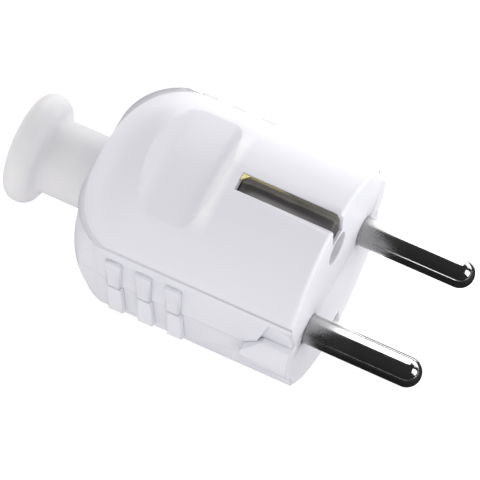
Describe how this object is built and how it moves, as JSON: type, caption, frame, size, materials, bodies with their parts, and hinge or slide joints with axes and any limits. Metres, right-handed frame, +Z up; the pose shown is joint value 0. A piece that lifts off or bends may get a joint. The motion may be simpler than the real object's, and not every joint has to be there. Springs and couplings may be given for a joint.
{
  "type": "type f plug",
  "caption": "White rewirable mains plug with round contact pins, sprung earth contacts above and below, an earth-pin hole, finger dishes, ribbed flanks and a flared cord bend sleeve.",
  "frame": {"origin": "centre of the engagement face, midway between the contact pins", "axes": "+X out of the face along the pins, +Y across the pins, +Z up towards the earth-pin hole"},
  "size_m": [0.0731, 0.035, 0.0358],
  "materials": {
    "housing": "satin moulded white thermoplastic",
    "sleeve": "soft moulded pale grey PVC",
    "insulator": "moulded grey insulating plastic",
    "pin_plating": "polished nickel-plated brass",
    "strap_brass": "thinly nickel-plated spring brass",
    "bare_brass": "turned brass",
    "zinc_steel": "zinc-plated steel"
  },
  "bodies": {
    "root": {"upper_shell": "housing", "lower_shell": "housing", "bend_sleeve": "sleeve", "contact_carrier": "insulator", "line_pin": "pin_plating", "neutral_pin": "pin_plating", "pin_terminal_screws": "zinc_steel", "earth_strap": "strap_brass", "earth_pin_socket": "bare_brass", "earth_clamp_plate": "zinc_steel", "earth_terminal_screw": "zinc_steel", "cord_clamp_bar": "insulator", "cord_clamp_screws": "zinc_steel", "housing_screws": "zinc_steel", "housing_nuts": "zinc_steel"}
  },
  "joints": []
}
